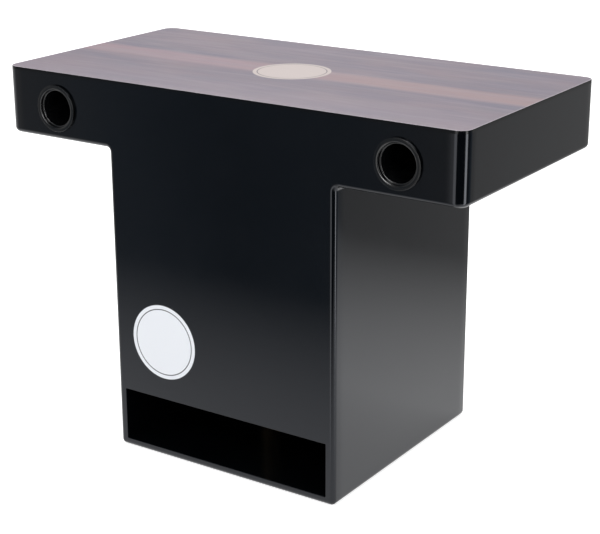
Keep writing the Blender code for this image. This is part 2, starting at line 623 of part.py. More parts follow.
def main():
    clear_scene()
    lacquer = finish("black_lacquer", (0.012, 0.013, 0.017), 0.32)
    veneer = finish("plate_veneer", (0.36, 0.30, 0.33), 0.38)
    port_plastic = finish("port_plastic", (0.010, 0.010, 0.011), 0.22)
    pine = finish("pine", (0.62, 0.45, 0.27), 0.7)
    beech = finish("beech", (0.56, 0.36, 0.21), 0.6)
    steel = finish("steel", (0.55, 0.55, 0.56), 0.3, 1.0)
    nylon = finish("nylon", (0.75, 0.73, 0.68), 0.5)
    grip_plastic = finish("grip_plastic", (0.02, 0.02, 0.022), 0.45)

    axis = bpy.data.objects.new("throw_off_axis", None)
    axis.location = (0, ROD_Y, ROD_Z)
    bpy.context.scene.collection.objects.link(axis)
    bore = cylinder_mesh("rod_bore", ROD_BORE_RADIUS, 2 * (ROD_HALF_LENGTH + BEYOND), ROD_ROUND)
    rod_cutter = as_cutter(add("rod_bore_cutter", bore, (0, ROD_Y, ROD_Z), turn=ALONG_X))

    envelope = cabinet_envelope()
    port_cutters = port_hole_cutters()
    lever_cutter, plate_drills = slot_plate(grip_plastic, steel)
    floor_drills = bearings(nylon, steel, rod_cutter)
    front_and_back(envelope, lacquer, port_cutters, lever_cutter, plate_drills)
    sides_and_floors(envelope, lacquer, floor_drills)
    playing_surface(veneer)
    glue_strips(pine, port_cutters)
    port_tubes(port_plastic)
    rod_and_collars(steel, axis, rod_cutter)
    snares(beech, steel, axis, rod_cutter)
    lever(steel, grip_plastic, axis, rod_cutter)


main()
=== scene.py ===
import math

import bpy
import numpy as np
from mathutils import Euler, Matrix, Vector
from mathutils.geometry import delaunay_2d_cdt


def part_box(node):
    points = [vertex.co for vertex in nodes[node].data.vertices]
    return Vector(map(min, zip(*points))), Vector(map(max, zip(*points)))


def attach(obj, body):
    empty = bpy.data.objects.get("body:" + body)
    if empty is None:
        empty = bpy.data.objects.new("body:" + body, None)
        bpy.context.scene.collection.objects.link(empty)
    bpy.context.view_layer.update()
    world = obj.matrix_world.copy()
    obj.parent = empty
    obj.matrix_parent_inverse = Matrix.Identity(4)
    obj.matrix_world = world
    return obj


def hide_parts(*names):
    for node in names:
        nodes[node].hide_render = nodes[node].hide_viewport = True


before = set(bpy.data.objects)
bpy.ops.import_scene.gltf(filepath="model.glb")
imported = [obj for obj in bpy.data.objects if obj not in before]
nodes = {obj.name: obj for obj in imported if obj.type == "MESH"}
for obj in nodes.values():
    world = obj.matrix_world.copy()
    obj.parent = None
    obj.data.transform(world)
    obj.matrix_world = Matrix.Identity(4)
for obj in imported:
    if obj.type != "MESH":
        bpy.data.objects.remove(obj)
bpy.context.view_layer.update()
quarterTurn = math.pi / 2
print("frame loaded:", len(nodes), "nodes")

# Boards of the cabinet. Corners, edges and hollows are the same all round.
cabinet = {
    "boardThickness": 0.009,
    "edgeRadius": 0.005,          # rounded edges of the front, the back and the undersides
    "wingCornerRadius": 0.011,    # upright corners of the wings
    "coveRadius": 0.004,          # hollow corner between wing and pedestal
    "rebateDepth": 0.003,         # how far a side's top is let into the wing's floor
    "holeEdgeRadius": 0.0006,     # broken edge round every opening
    # the paint leans over before an upright edge: how much, and from how far
    "shoulderTilt": math.radians(3.5),
    "shoulderOnSide": 0.012,
    "shoulderAtCorner": 0.008,
    "shoulderCuts": (0.35, 0.7, 1.0),   # where the wing's end is cut along that way
    # points across: a rounded edge, a wing's corner on the board and on the wing's end,
    # the face's strip beside that corner, and a wall that leans
    "roundSteps": 9,
    "boardCornerSteps": 12,
    "endCornerSteps": 6,
    "stripSteps": 5,
    "leaningSteps": 4,
}

frontY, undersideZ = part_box("front_panel")[0].y, 0.0
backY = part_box("back_panel")[1].y
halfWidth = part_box("right_wing_end")[1].x
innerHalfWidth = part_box("right_wing_end")[0].x
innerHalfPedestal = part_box("right_side_panel")[0].x
halfPedestal = innerHalfPedestal + cabinet["boardThickness"]
wingZ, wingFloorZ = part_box("right_wing_floor")[0].z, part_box("right_wing_floor")[1].z
plateZ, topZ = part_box("playing_surface")[0].z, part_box("playing_surface")[1].z
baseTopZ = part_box("base_panel")[1].z
boardHalfLength = abs(frontY) - cabinet["boardThickness"]
ledgeX, rebateZ = halfPedestal + cabinet["coveRadius"], wingZ + cabinet["rebateDepth"]

# Points are joined after rounding to so many digits of a metre, or within mergeDistance in a
# flat region, and faces smaller than smallestFace are left out
meshRules = {"digits": 6, "mergeDistance": 1e-8, "smallestFace": 1e-14}


# Patches. A patch is (points, normals, quads): a grid or a flat region of one piece's skin.
# A triangle is a quad whose last corner is repeated.

def gridPatch(points, normals):
    # points is rows x columns x 3, and neighbouring points make the quads
    rows, columns = points.shape[:2]
    corner = np.arange(rows * columns).reshape(rows, columns)
    quads = np.stack([corner[:-1, :-1], corner[:-1, 1:], corner[1:, 1:], corner[1:, :-1]], -1)
    normals = np.broadcast_to(normals, points.shape)
    return points.reshape(-1, 3), normals.reshape(-1, 3), quads.reshape(-1, 4)


def flatPatch(loops, normal):
    # the flat region inside the first loop and outside the others, in Delaunay triangles
    # that use every point of the loops, those along straight edges too.
    # A loop runs anticlockwise where the sum of x * next y - y * next x is positive
    across = [axis for axis in range(3) if axis != np.abs(normal).argmax()]
    points, rings = np.concatenate(loops), []
    for loop, end in zip(loops, np.cumsum([len(loop) for loop in loops])):
        x, y = loop[:, across].T
        ring = list(range(end - len(loop), end))
        anticlockwise = (x * np.roll(y, -1) - y * np.roll(x, -1)).sum() > 0
        rings.append(ring if anticlockwise else ring[::-1])
    _, _, faces, sources, _, owners = delaunay_2d_cdt(
        [Vector(place) for place in points[:, across]], [], rings, 1, meshRules["mergeDistance"]
    )
    # a triangle inside a hole belongs to two rings
    inside = [face for face, owner in zip(faces, owners) if len(owner) == 1]
    triangles = np.array([source[0] for source in sources])[inside]
    normals = np.tile(np.array(normal, float), (len(points), 1))
    return points, normals, np.column_stack([triangles, triangles[:, 2]])


def makePiece(name, patches, material, body="cabinet", replaces=()):
    # joins the patches where their points meet; every face turns to the side of its normals
    offsets = np.cumsum([0] + [len(patch[0]) for patch in patches])
    points = np.concatenate([patch[0] for patch in patches])
    normals = np.concatenate([patch[1] for patch in patches])
    quads = np.concatenate([patch[2] + offset for patch, offset in zip(patches, offsets)])
    points = np.round(points, meshRules["digits"])
    merged, index = np.unique(points, axis=0, return_inverse=True)
    corners, cornerNormals = index.reshape(-1)[quads], normals[quads]
    at = merged[corners]
    facing = np.cross(at[:, 2] - at[:, 0], at[:, 3] - at[:, 1])
    wrong = (facing * cornerNormals.sum(1)).sum(1) < 0
    corners[wrong], cornerNormals[wrong] = corners[wrong, ::-1], cornerNormals[wrong, ::-1]
    keep = corners != np.roll(corners, 1, axis=1)
    solid = (keep.sum(1) > 2) & (np.linalg.norm(facing, axis=1) > meshRules["smallestFace"])
    corners, cornerNormals, keep = corners[solid], cornerNormals[solid], keep[solid]
    mesh = bpy.data.meshes.new(name)
    mesh.vertices.add(len(merged))
    mesh.vertices.foreach_set("co", merged.ravel())
    mesh.loops.add(int(keep.sum()))
    mesh.loops.foreach_set("vertex_index", corners[keep].astype(np.int32))
    mesh.polygons.add(len(corners))
    starts = np.concatenate([[0], np.cumsum(keep.sum(1))[:-1]])
    mesh.polygons.foreach_set("loop_start", starts.astype(np.int32))
    mesh.update(calc_edges=True)
    mesh.normals_split_custom_set(cornerNormals[keep].tolist())
    mesh.materials.append(material)
    piece = bpy.data.objects.new(name, mesh)
    bpy.context.scene.collection.objects.link(piece)
    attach(piece, body)
    if replaces:
        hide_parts(*replaces)


def arc(centre, radius, start, end, steps):
    # points on a circle and their directions from its centre
    angle = np.linspace(start, end, steps)
    direction = np.stack([np.cos(angle), np.sin(angle)], 1)
    return np.array(centre) + radius * direction, direction


def roundedLoop(centre, width, height, radius, steps=7):
    # a closed rectangle with round corners, as points and outward directions
    points, directions = [], []
    for turn, corner in enumerate(((1, 1), (-1, 1), (-1, -1), (1, -1))):
        middle = centre + np.array(corner) * (width / 2 - radius, height / 2 - radius)
        place, direction = arc(middle, radius, turn * quarterTurn, (turn + 1) * quarterTurn, steps)
        points.append(place)
        directions.append(direction)
    points, directions = np.concatenate(points), np.concatenate(directions)
    return np.vstack([points, points[:1]]), np.vstack([directions, directions[:1]])


def shoulder(distance, width):
    # tilt = full * (1 - s^2 (3 - 2 s)) with s = distance / width, held between 0 and 1
    share = np.clip(np.asarray(distance) / width, 0, 1)
    return cabinet["shoulderTilt"] * (1 - share * share * (3 - 2 * share))


def turnedAboutUp(normals, angle):
    # x' = x cos a - y sin a, y' = x sin a + y cos a
    x, y, z = np.moveaxis(normals, -1, 0)
    cos, sin = np.cos(angle), np.sin(angle)
    return np.stack([x * cos - y * sin, x * sin + y * cos, z], -1)


def rim(outline, outward, radius, face, facing, order, tilt=0.0):
    # a quarter round carried along an outline: at turn t the skin stands at
    # outline - outward * radius * (1 - sin t) and lies radius * (1 - cos t) under the face.
    # Its normals end short of square by the tilt where the wall that follows leans.
    # order says which axes the outline's two coordinates and the level are
    turn = np.linspace(0, quarterTurn, cabinet["roundSteps"])[:, None]
    leaning = turn * (1 - tilt / quarterTurn * np.abs(outward[None, :, 0]))
    points = np.empty((len(turn), len(outline), 3))
    normals = np.empty_like(points)
    for coordinate in (0, 1):
        axis = order[coordinate]
        away = outward[None, :, coordinate]
        points[:, :, axis] = outline[None, :, coordinate] - radius * (1 - np.sin(turn)) * away
        normals[:, :, axis] = np.sin(leaning) * away
    points[:, :, order[2]] = face - facing * radius * (1 - np.cos(turn))
    normals[:, :, order[2]] = facing * np.cos(leaning)
    return points, normals


def wallTo(points, normals, axis, level, lean=False):
    # a straight wall from the rim's last row to a level; with lean its normals calm down on
    # the way, by the shoulder's tilt at the distance gone less its full tilt
    share = np.linspace(0, 1, cabinet["leaningSteps"] if lean else 2)[:, None]
    rows = np.repeat(points[-1][None], len(share), axis=0)
    start = rows[:, :, axis].copy()
    rows[:, :, axis] = start + (level - start) * share
    facing = np.broadcast_to(normals[-1], rows.shape)
    if lean:
        gone = shoulder(np.abs(rows[:, :, axis] - start), cabinet["shoulderOnSide"])
        back = (gone - cabinet["shoulderTilt"]) * np.abs(normals[-1, :, 0])
        facing = turnedAboutUp(facing, back * np.sign(rows[:, :, 0]) * np.sign(level))
    return gridPatch(rows, facing)


def flatWall(line, axis, level, normal, steps=2):
    # a straight wall with one normal, from a line of points to a level along one axis
    foot = line.copy()
    foot[:, axis] = level
    share = np.linspace(0, 1, steps)[:, None, None]
    return gridPatch(line + (foot - line) * share, np.array(normal, float))


# The front and back boards

def boardOutline():
    # the right half of the T: along the wing's underside, round the hollow and down to the
    # base, then the same mirrored; as points and outward directions
    radius, cove = cabinet["edgeRadius"], cabinet["coveRadius"]
    startX = halfWidth - cabinet["wingCornerRadius"]
    steps = cabinet["roundSteps"]
    run = np.linspace(startX, startX - cabinet["shoulderAtCorner"], cabinet["stripSteps"])
    hollow, fromCentre = arc(
        (halfPedestal + cove, wingZ - cove), cove, quarterTurn, 2 * quarterTurn, steps
    )
    corner, fromCorner = arc(
        (halfPedestal - radius, undersideZ + radius), radius, 0, -quarterTurn, steps
    )
    points = np.concatenate([np.column_stack([run, np.full(len(run), wingZ)]), hollow, corner])
    outward = np.concatenate([np.tile((0.0, -1.0), (len(run), 1)), -fromCentre, fromCorner])
    flip = np.array([-1, 1])
    return [np.concatenate([half, half[::-1] * flip]) for half in (points, outward)]


def wingCorner(side, onBoard, share):
    # the wing's corner: the quarter round carried round an upright corner.
    # At turn t the plan radius is (corner - edge) + edge * cos t. The board's inner plane cuts
    # the corner at the angle arcsin((corner - board thickness) / plan radius). On the board,
    # share runs from 0 at that cut to 1 at the front; on the wing's end, from 1 at the cut to 0.
    # Returns rows from the plate down to the underside
    radius, corner = cabinet["edgeRadius"], cabinet["wingCornerRadius"]
    tilt = cabinet["shoulderTilt"]
    turn = np.linspace(0, quarterTurn, cabinet["roundSteps"])[:, None]
    down = np.concatenate([[[0.0]], turn])
    plan = np.concatenate([[[corner]], corner - radius + radius * np.cos(turn)])
    height = np.concatenate([[[plateZ]], wingZ + radius - radius * np.sin(turn)])
    cut = np.arcsin((corner - cabinet["boardThickness"]) / plan)
    angle = cut + (quarterTurn - cut) * share[None, :] if onBoard else cut * share[None, :]
    points = np.stack([
        side * (halfWidth - corner + plan * np.cos(angle)),
        abs(frontY) - corner + plan * np.sin(angle),
        np.broadcast_to(height, angle.shape),
    ], -1)
    leaning = tilt + angle / quarterTurn * (quarterTurn - 2 * tilt)
    normals = np.stack([
        side * np.cos(down) * np.cos(leaning),
        np.cos(down) * np.sin(leaning),
        np.broadcast_to(-np.sin(down), angle.shape),
    ], -1)
    return points, normals


def towards(side, points):
    # turns a corner that was worked out behind (+Y) to the front where side is -1
    return points * np.array([1, side, 1])


def tBoard(name, side, holes, material, replaces):
    # the T-shaped board of the front (side -1) or the back (side 1): face, rounded edge, walls,
    # both wing corners, the holes with their broken edges, the inner face and the top
    faceY = frontY if side < 0 else backY
    innerY = side * (abs(faceY) - cabinet["boardThickness"])
    cornerX = halfWidth - cabinet["wingCornerRadius"]
    outline, outward = boardOutline()
    points, normals = rim(
        outline, outward, cabinet["edgeRadius"], faceY, side, (0, 2, 1), cabinet["shoulderTilt"]
    )

    def onInnerFace(places):
        # the same places moved along Y to the inner face
        return places * np.array([1, 0, 1]) + np.array([0, innerY, 0])

    def leanAcross(places, directions):
        # the face also leans over before the upright corners of the wings
        angle = shoulder(cornerX - np.abs(places[..., 0]), cabinet["shoulderAtCorner"])
        return turnedAboutUp(directions, -side * np.sign(places[..., 0]) * angle)

    patches = [gridPatch(points, leanAcross(points, normals))]
    patches.append(wallTo(points, normals, 1, innerY, lean=True))
    share = np.linspace(0, 1, cabinet["boardCornerSteps"])
    tops, inners = {}, {}
    for end in (1, -1):
        curve, curveNormals = wingCorner(end, True, share)
        curve, curveNormals = towards(side, curve), towards(side, curveNormals)
        patches.append(gridPatch(curve, curveNormals))
        patches.append(flatWall(curve[-1], 1, innerY, (0, 0, -1), cabinet["leaningSteps"]))
        low = points[0, ::end][:cabinet["stripSteps"]]
        high = low.copy()
        high[:, 2] = plateZ
        strip = np.stack([high, low])
        facing = np.broadcast_to((0.0, side, 0.0), strip.shape)
        patches.append(gridPatch(strip, leanAcross(strip, facing)))
        tops[end] = np.concatenate([curve[0], high[1:]])
        inners[end] = np.concatenate([curve[:, 0], onInnerFace(curve[-1])[1:]])
    last = cabinet["stripSteps"] - 1
    faceLoops = [np.concatenate([points[0, last:-last], tops[-1][-1:], tops[1][-1:]])]
    innerLoops = [np.concatenate([inners[1], onInnerFace(points[-1])[1:-1], inners[-1][::-1]])]
    for hole, direction in holes:
        # the hole's edge turns outward the other way, into the air of the hole
        edge, edgeNormals = rim(
            hole, -direction, cabinet["holeEdgeRadius"], faceY, side, (0, 2, 1)
        )
        patches += [gridPatch(edge, edgeNormals), wallTo(edge, edgeNormals, 1, innerY)]
        faceLoops.append(edge[0, :-1])
        innerLoops.append(onInnerFace(edge[-1, :-1]))
    patches.append(flatPatch(faceLoops, (0, side, 0)))
    patches.append(flatPatch(innerLoops, (0, -side, 0)))
    patches.append(flatPatch([np.concatenate([tops[1], tops[-1][::-1]])], (0, 0, 1)))
    makePiece(name, patches, material, replaces=replaces)


# Straight boards: a closed section in the XZ plane carried along Y

def sectionBoard(name, segments, side, material, replaces):
    # each segment is a run of (x, z) points with its normals, given for the right side; together
    # they close the section. Towards both ends the normals lean by the shoulder's tilt
    start = abs(frontY) - cabinet["edgeRadius"]
    gone = np.linspace(start - boardHalfLength, cabinet["shoulderOnSide"], cabinet["leaningSteps"])
    along = np.concatenate([gone - start, (start - gone)[::-1]])
    tilt = np.sign(along) * shoulder(start - np.abs(along), cabinet["shoulderOnSide"])
    patches, loop = [], []
    for run, directions in segments:
        x, z = run.T * np.array([[side], [1]])
        rows = np.stack(np.broadcast_arrays(x, along[:, None], z), -1)
        facing = np.stack([directions[:, 0] * side, np.zeros(len(run)), directions[:, 1]], 1)
        facing = np.broadcast_to(facing, rows.shape)
        facing = turnedAboutUp(facing, tilt[:, None] * np.sign(rows[:, :, 0]))
        patches.append(gridPatch(rows, facing))
        loop.append(rows[0, :-1])
    loop = np.concatenate(loop)
    patches.append(flatPatch([loop], (0, -1, 0)))
    patches.append(flatPatch([loop * np.array([1, -1, 1])], (0, 1, 0)))
    makePiece(name, patches, material, replaces=replaces)


def straight(start, end):
    # a straight run with the normal on its right-hand side
    start, end = np.array(start, float), np.array(end, float)
    along = (end - start) / np.linalg.norm(end - start)
    return np.stack([start, end]), np.tile([along[1], -along[0]], (2, 1))


def flatBoard(name, corners, side, material, replaces):
    # a board with sharp edges; its corners run anticlockwise in (x, z)
    segments = [straight(*pair) for pair in zip(corners, corners[1:] + corners[:1])]
    sectionBoard(name, segments, side, material, replaces)


def sideBoard(word, side, material):
    # a side of the pedestal: rounded at the foot, hollowed out under the wing and let into it
    radius, cove, steps = cabinet["edgeRadius"], cabinet["coveRadius"], cabinet["roundSteps"]
    foot = arc((halfPedestal - radius, radius), radius, -quarterTurn, 0, steps)
    hollow, fromCentre = arc((ledgeX, wingZ - cove), cove, 2 * quarterTurn, quarterTurn, steps)
    segments = [
        straight((innerHalfPedestal, 0), (halfPedestal - radius, 0)),
        foot,
        straight((halfPedestal, radius), (halfPedestal, wingZ - cove)),
        (hollow, -fromCentre),
        straight((ledgeX, wingZ), (ledgeX, rebateZ)),
        straight((ledgeX, rebateZ), (innerHalfPedestal, rebateZ)),
        straight((innerHalfPedestal, rebateZ), (innerHalfPedestal, 0)),
    ]
    sectionBoard(f"{word}SideBoard", segments, side, material, [f"{word}_side_panel"])


def wingEnd(word, side, material):
    # the flat end of the wing with the last of the corner's curve at both its edges
    share = np.linspace(1, 0, cabinet["endCornerSteps"])
    curve, curveNormals = wingCorner(side, False, share)
    into = cabinet["shoulderAtCorner"] * np.array(cabinet["shoulderCuts"])
    run = np.repeat(curve[:, -1:], len(into), axis=1)
    run[:, :, 1] -= into
    down = np.arcsin(-curveNormals[:, -1:, 2])
    lean = shoulder(into, cabinet["shoulderAtCorner"])[None, :]
    runNormals = np.stack([
        side * np.cos(down) * np.cos(lean),
        np.cos(down) * np.sin(lean),
        np.broadcast_to(-np.sin(down), run.shape[:2]),
    ], -1)
    half = np.concatenate([curve, run], 1)
    halfNormals = np.concatenate([curveNormals, runNormals], 1)
    points = np.concatenate([half, towards(-1, half)[:, ::-1]], 1)
    normals = np.concatenate([halfNormals, towards(-1, halfNormals)[:, ::-1]], 1)
    innerX = side * innerHalfWidth
    low, high = points[-1].copy(), points[0].copy()
    low[:, 0] = high[:, 0] = innerX
    patches = [
        gridPatch(points, normals),
        gridPatch(np.stack([low, high]), np.array([-side, 0.0, 0.0])),
        flatWall(points[-1], 0, innerX, (0, 0, -1)),
        flatWall(points[0], 0, innerX, (0, 0, 1)),
    ]
    for column, facing in ((0, 1), (-1, -1)):
        loop = np.concatenate([points[:, column], low[column][None], high[column][None]])
        patches.append(flatPatch([loop], (0, facing, 0)))
    makePiece(
        f"{word}WingEnd", patches, material, replaces=[f"{word}_wing_end"]
    )


# Material helpers

def newMaterial(name, baseColour, metallic=0.0):
    # an opaque material; its colour shows where no texture is linked, as in a solid view
    material = bpy.data.materials.new(name)
    material.use_nodes = True
    material.diffuse_color = (*baseColour, 1)
    shader = material.node_tree.nodes["Principled BSDF"]
    shader.inputs["Base Color"].default_value = (*baseColour, 1)
    shader.inputs["Metallic"].default_value = metallic
    return material, material.node_tree, shader


def addNode(tree, kind, sockets, **settings):
    # a node with its settings; a socket gets a link where its value is another node's output
    node = tree.nodes.new(kind)
    for key, value in settings.items():
        setattr(node, key, value)
    for key, value in sockets.items():
        if isinstance(value, bpy.types.NodeSocket):
            tree.links.new(value, node.inputs[key])
        else:
            node.inputs[key].default_value = value
    return node


def objectSpace(tree, scale=(1, 1, 1), location=(0, 0, 0)):
    # the piece's own metres, stretched along the grain where scale says so
    place = addNode(tree, "ShaderNodeTexCoord", {})
    sockets = {"Vector": place.outputs["Object"], "Scale": scale, "Location": location}
    return addNode(tree, "ShaderNodeMapping", sockets).outputs["Vector"]


def axesOf(tree, space="Object"):
    # the three coordinates, in the piece's own metres
    place = addNode(tree, "ShaderNodeTexCoord", {})
    return addNode(tree, "ShaderNodeSeparateXYZ", {0: place.outputs[space]}).outputs


def noise(tree, vector, scale, detail=3.0, roughness=0.5, distortion=0.0):
    # smooth noise around 0.5
    return addNode(tree, "ShaderNodeTexNoise", {
        "Vector": vector, "Scale": scale, "Detail": detail, "Roughness": roughness,
        "Distortion": distortion,
    }).outputs["Fac"]


def spread(tree, value, fromLow, fromHigh, toLow, toHigh):
    # a straight line from (fromLow, toLow) to (fromHigh, toHigh), held at both ends
    return addNode(tree, "ShaderNodeMapRange", {
        "Value": value, "From Min": fromLow, "From Max": fromHigh,
        "To Min": toLow, "To Max": toHigh,
    }).outputs["Result"]


# the Mix node's sockets for colours, among those of its other kinds
mixSockets = {"factor": 0, "first": 6, "second": 7, "result": 2}


def blendColours(tree, factor, first, second):
    # the first colour where factor is 0 and the second where it is 1
    first, second = (
        (*colour, 1) if isinstance(colour, tuple) else colour for colour in (first, second)
    )
    sockets = {
        mixSockets["factor"]: factor, mixSockets["first"]: first, mixSockets["second"]: second
    }
    node = addNode(tree, "ShaderNodeMix", sockets, data_type="RGBA")
    return node.outputs[mixSockets["result"]]


def arithmetic(tree, operation, *values):
    # one sum on one to three values
    sockets = dict(enumerate(values))
    return addNode(tree, "ShaderNodeMath", sockets, operation=operation).outputs[0]


def blendValue(tree, factor, first, second):
    # first where factor is 0 and second where it is 1
    kept = arithmetic(tree, "MULTIPLY", arithmetic(tree, "SUBTRACT", 1.0, factor), first)
    return arithmetic(tree, "MULTIPLY_ADD", factor, second, kept)


def finishWith(tree, shader, colour, roughness, height, depth):
    # links the textures to the shader, with bumps as deep as depth
    bump = addNode(tree, "ShaderNodeBump", {"Height": height, "Distance": depth})
    tree.links.new(colour, shader.inputs["Base Color"])
    tree.links.new(roughness, shader.inputs["Roughness"])
    tree.links.new(bump.outputs["Normal"], shader.inputs["Normal"])


# Materials. A texture is (scale, detail, roughness, distortion). A range of noise, in pairs
# such as cloudRange, runs from one end of the effect to the other.

printLook = {
    "frontCentre": (-0.067, 0.120),      # x, z on the front board
    "plateCentre": (-0.0022, -0.0015),   # x, y on the plate
    "radius": 0.0372,
    "ringInset": 0.0042,
    "ringWidth": 0.0009,
    "white": (0.86, 0.885, 0.93),
    "cream": (0.49, 0.42, 0.40),
    "whiteRoughness": 0.42,
    "edgeSoftness": 0.00025,
}


def printedDisc(tree, axes, centre, paper, ring):
    # the disc's mask across two of the piece's axes, and its colour with a thin plain ring
    # just inside its edge
    places, squares = axesOf(tree), []
    for axis, middle in zip(axes, centre):
        offset = arithmetic(tree, "SUBTRACT", places[axis], middle)
        squares.append(arithmetic(tree, "MULTIPLY", offset, offset))
    distance = arithmetic(tree, "SQRT", arithmetic(tree, "ADD", *squares))
    radius, soft = printLook["radius"], printLook["edgeSoftness"]
    mask = spread(tree, distance, radius - soft, radius + soft, 1.0, 0.0)
    offset = arithmetic(tree, "SUBTRACT", distance, radius - printLook["ringInset"])
    offset, half = arithmetic(tree, "ABSOLUTE", offset), printLook["ringWidth"] / 2
    onRing = spread(tree, offset, half - soft, half + soft, 1.0, 0.0)
    return mask, blendColours(tree, onRing, paper, ring)


lacquerLook = {
    "colour": (0.0008, 0.0012, 0.0017),
    "paler": (0.0014, 0.0019, 0.0026),
    "gloss": 0.38,
    "glossTint": (0.88, 0.91, 1.0),
    "roughness": (0.09, 0.14),
    "cloud": (9.0, 4.0, 0.6),
    "cloudRange": (0.35, 0.7),
    "smear": (28.0, 5.0, 0.65, 0.4),
    "smearRange": (0.3, 0.7),
    "peel": (520.0, 2.0, 0.5),
    "peelDepth": 0.000002,
}


def lacquer(name, withPrint=False):
    # black paint with faint clouds, smears and orange peel; the front board's carries the disc
    look = lacquerLook
    material, tree, shader = newMaterial(name, look["colour"])
    shader.inputs["Specular IOR Level"].default_value = look["gloss"]
    shader.inputs["Specular Tint"].default_value = (*look["glossTint"], 1)
    space = objectSpace(tree)
    cloud = spread(tree, noise(tree, space, *look["cloud"]), *look["cloudRange"], 0.0, 1.0)
    colour = blendColours(tree, cloud, look["colour"], look["paler"])
    smear = noise(tree, space, *look["smear"])
    roughness = spread(tree, smear, *look["smearRange"], *look["roughness"])
    if withPrint:
        disc, ink = printedDisc(
            tree, (0, 2), printLook["frontCentre"], printLook["white"], look["paler"]
        )
        colour = blendColours(tree, disc, colour, ink)
        roughness = blendValue(tree, disc, roughness, printLook["whiteRoughness"])
    peel = noise(tree, space, *look["peel"])
    finishWith(tree, shader, colour, roughness, peel, look["peelDepth"])
    return material


veneerLook = {
    "bluish": (0.120, 0.101, 0.152),
    "pinkish": (0.176, 0.124, 0.158),
    "pale": (0.246, 0.197, 0.240),
    "stripe": (0.270, 0.168, 0.200),
    "stripeWarm": (0.280, 0.174, 0.182),
    "line": (0.085, 0.066, 0.080),
    "edge": (0.0016, 0.0020, 0.0028),
    "rimHighlight": (0.62, 0.57, 0.61),   # painted highlight: the start of the rounded rim, painted pale where it catches the light
    # grain: stretch and shift along X, then the texture. Broad patches, bands a few
    # millimetres wide, streaks, pores and a slow change of the stripe's warmth
    "grain": {
        "patches": (0.35, 0.0, 22.0, 3.0, 0.55),
        "bands": (0.09, 0.4, 95.0, 3.0, 0.6, 0.25),
        "streaks": (0.05, 0.0, 330.0, 4.0, 0.62, 0.2),
        "pores": (0.08, 0.0, 1500.0, 2.0, 0.5),
        "warmth": (0.5, 0.3, 14.0),
    },
    "patchRange": (0.34, 0.66),
    "warmthReach": 0.2,              # metres over which the warmth changes, and its wander
    "stripeMiddle": -0.0012,
    "stripeHalfWidth": 0.0175,
    "stripeSoftness": 0.0045,
    "stripeStrength": 0.85,
    "stripeWander": (9.0, 2.0),      # the texture of its bends
    "wanderDepth": 0.006,
    "featherDepth": 0.009,           # how far single streaks carry its edge
    # over the ground in this order: what is read, its range, the cover at both ends, the colour.
    # front is Y itself, so the leaf lightens towards the front
    "layers": (
        ("bands", (0.48, 0.74), (0.0, 0.6), "pale"),
        ("front", (-0.045, -0.125), (0.0, 0.55), "pale"),
        ("streaks", (0.56, 0.74), (0.0, 0.55), "pale"),
        ("streaks", (0.28, 0.46), (0.6, 0.0), "line"),
    ),
    "dashRange": (0.60, 0.78),
    "dashCover": 0.45,
    "discGrain": (0.25, 0.5),        # streaks that show through the printed disc
    "discGrainCover": 0.22,
    # measured down from the top: where the painted highlight and the black of the edge set in
    "rubDepth": 0.00005,
    "rimHighlightCover": 0.9,
    "edgeDepth": (0.00024, 0.00014),
    "roughness": (0.30, 0.42),
    "roughnessRange": (0.3, 0.7),
    "edgeRoughness": 0.16,
    "gloss": 0.5,
    "edgeGloss": 0.26,
    "dashDepth": 1.5,                # against the streaks' depth
    "grainDepth": 0.00002,
}


